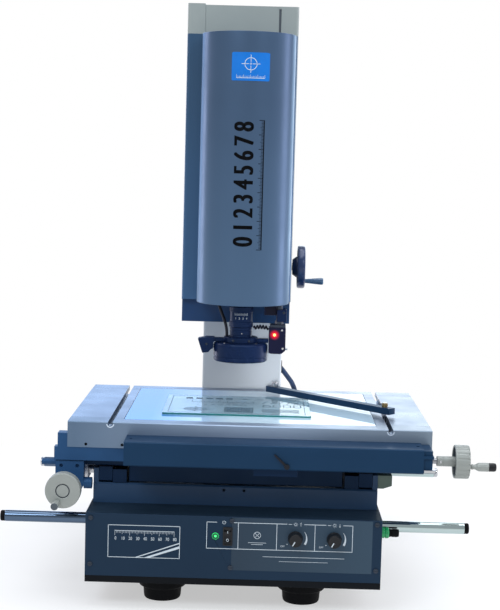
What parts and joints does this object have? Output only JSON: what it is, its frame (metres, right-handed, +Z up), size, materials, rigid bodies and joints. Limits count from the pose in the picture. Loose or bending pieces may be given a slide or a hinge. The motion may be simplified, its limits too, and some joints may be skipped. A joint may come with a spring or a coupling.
{
  "type": "vision measuring machine",
  "caption": "Bench-top video measuring machine: cast base with carrying rods, XY glass stage with handwheels, column, and a camera head with ring light on a vertical slide.",
  "frame": {"origin": "middle of the bottom face of the whole box, on the surface that the feet stand on", "axes": "+Z up, +X to the operator's right, +Y away from the operator"},
  "size_m": [0.68, 0.642, 0.856],
  "materials": {
    "navy_casting": "satin dark navy paint",
    "beige_casting": "light beige-grey textured paint",
    "panel_paint": "satin navy paint with screen-printed frames",
    "black_steel": "matt black paint",
    "housing_paint": "light beige-grey paint",
    "cover_paint": "satin slate blue paint",
    "casing_paint": "satin darker slate blue paint",
    "stage_metal": "ground and anodised blue-grey",
    "scale_anodised": "dark navy anodised",
    "rail_steel": "ground hardened steel",
    "chrome_bar": "bright chrome plating",
    "wheel_grey": "light grey cast aluminium",
    "black_plastic": "matt black moulding",
    "lens_black": "black anodised",
    "foot_rubber": "black rubber",
    "stage_glass": "clear float glass",
    "plate_glass": "clear glass with faint chrome patterns",
    "cord_jacket": "black flexible jacket",
    "connector_green": "green plastic",
    "screw_steel": "plated steel",
    "laser_black": "black anodised with a red window"
  },
  "bodies": {
    "base": {"base_casting": "navy_casting", "bottom_plate": "black_steel", "front_panel": "panel_paint", "panel_and_column_screws": "screw_steel", "rubber_feet": "foot_rubber", "carrying_rods": "chrome_bar", "base_connectors": "connector_green", "lamp_power_unit": "screw_steel", "contour_lamp": "lens_black", "y_bed": "navy_casting", "y_rails_lower": "rail_steel", "y_scale_unit": "scale_anodised", "y_drive_nut": "screw_steel", "column": "beige_casting", "column_cable": "cord_jacket", "z_housing": "housing_paint", "z_rails": "rail_steel"},
    "power_rocker": {"power_rocker": "black_plastic"},
    "contour_knob": {"contour_knob": "black_plastic"},
    "surface_knob": {"surface_knob": "black_plastic"},
    "saddle": {"saddle": "navy_casting", "y_rails_upper": "rail_steel", "x_rails_lower": "rail_steel", "x_drive_nut": "screw_steel", "scale_readers": "scale_anodised", "y_drive_brackets": "scale_anodised"},
    "y_wheel": {"y_drive_rod": "rail_steel", "y_handwheel": "wheel_grey"},
    "y_crank": {"y_crank_knob": "wheel_grey"},
    "stage": {"stage_front_rail": "stage_metal", "stage_rear_rail": "stage_metal", "stage_side_left": "stage_metal", "stage_side_right": "stage_metal", "stage_glass": "stage_glass", "x_rails_upper": "rail_steel", "x_scale_unit": "scale_anodised", "x_rod_bearings": "scale_anodised", "calibration_plate": "plate_glass"},
    "x_lever": {"x_release_lever": "screw_steel"},
    "x_wheel": {"x_drive_rod": "rail_steel", "x_handwheel": "wheel_grey"},
    "x_crank": {"x_crank_knob": "wheel_grey"},
    "clamp_nut": {"clamp_slide_nut": "screw_steel"},
    "clamp_arm": {"clamp_bar": "scale_anodised", "clamp_screws": "screw_steel"},
    "head": {"head_carrier": "casing_paint", "head_rear_casing": "casing_paint", "head_front_cover": "cover_paint", "z_carriages": "rail_steel", "z_rack": "rail_steel", "camera": "lens_black", "zoom_lens": "lens_black", "ring_light": "lens_black", "light_arm": "lens_black", "laser_pointer": "laser_black", "head_cables": "cord_jacket"},
    "zoom_ring": {"zoom_ring": "lens_black"},
    "z_wheel": {"z_pinion_shaft": "rail_steel", "z_handwheel": "black_steel"},
    "z_crank": {"z_crank_knob": "black_plastic"}
  },
  "joints": [
    {"name": "y_slide", "type": "slide", "parent": "base", "child": "saddle", "axis": [0, 1, 0], "range_m": [-0.05, 0.05]},
    {"name": "x_slide", "type": "slide", "parent": "saddle", "child": "stage", "axis": [1, 0, 0], "range_m": [-0.093, 0.057]},
    {"name": "z_slide", "type": "slide", "parent": "base", "child": "head", "axis": [0, 0, 1], "range_m": [-0.055, 0.095]},
    {"name": "y_wheel_turn", "type": "hinge", "parent": "saddle", "child": "y_wheel", "pos_m": [-0.2475, -0.294, 0.1585], "axis": [0, 1, 0], "range_deg": [-725, 725]},
    {"name": "x_wheel_turn", "type": "hinge", "parent": "stage", "child": "x_wheel", "pos_m": [0.284, -0.24, 0.203], "axis": [1, 0, 0], "range_deg": [-1345, 826]},
    {"name": "z_wheel_turn", "type": "hinge", "parent": "base", "child": "z_wheel", "pos_m": [0.074, 0.202, 0.434], "axis": [1, 0, 0], "range_deg": [-685, 398]},
    {"name": "y_crank_spin", "type": "hinge", "parent": "y_wheel", "child": "y_crank", "pos_m": [-0.25468, -0.304, 0.14309], "axis": [0, 1, 0], "continuous": true},
    {"name": "x_crank_spin", "type": "hinge", "parent": "x_wheel", "child": "x_crank", "pos_m": [0.324, -0.25255, 0.19892], "axis": [1, 0, 0], "continuous": true},
    {"name": "z_crank_spin", "type": "hinge", "parent": "z_wheel", "child": "z_crank", "pos_m": [0.099, 0.194, 0.4115], "axis": [1, 0, 0], "continuous": true},
    {"name": "zoom_turn", "type": "hinge", "parent": "head", "child": "zoom_ring", "pos_m": [-0.016, -0.083, 0.379], "axis": [0, 0, 1], "range_deg": [0, 120]},
    {"name": "x_release_turn", "type": "hinge", "parent": "stage", "child": "x_lever", "pos_m": [0.053, -0.3, 0.2015], "axis": [0, 1, 0], "range_deg": [0, 30]},
    {"name": "clamp_slide", "type": "slide", "parent": "stage", "child": "clamp_nut", "axis": [0, 1, 0], "range_m": [-0.08, 0.06]},
    {"name": "clamp_swivel", "type": "hinge", "parent": "clamp_nut", "child": "clamp_arm", "pos_m": [0.195, -0.138, 0.254], "axis": [0, 0, 1], "range_deg": [-40, 45]},
    {"name": "power_switch", "type": "hinge", "parent": "base", "child": "power_rocker", "pos_m": [-0.0238, -0.29, 0.103], "axis": [1, 0, 0], "range_deg": [0, 14]},
    {"name": "contour_turn", "type": "hinge", "parent": "base", "child": "contour_knob", "pos_m": [0.0674, -0.294, 0.1028], "axis": [0, 1, 0], "range_deg": [0, 270]},
    {"name": "surface_turn", "type": "hinge", "parent": "base", "child": "surface_knob", "pos_m": [0.1197, -0.294, 0.1028], "axis": [0, 1, 0], "range_deg": [0, 270]}
  ],
  "couplings": [
    {"joint": "y_wheel_turn", "follows": "y_slide", "rad_per_m": 251.33},
    {"joint": "x_wheel_turn", "follows": "x_slide", "rad_per_m": 251.33},
    {"joint": "z_wheel_turn", "follows": "z_slide", "rad_per_m": -125}
  ]
}
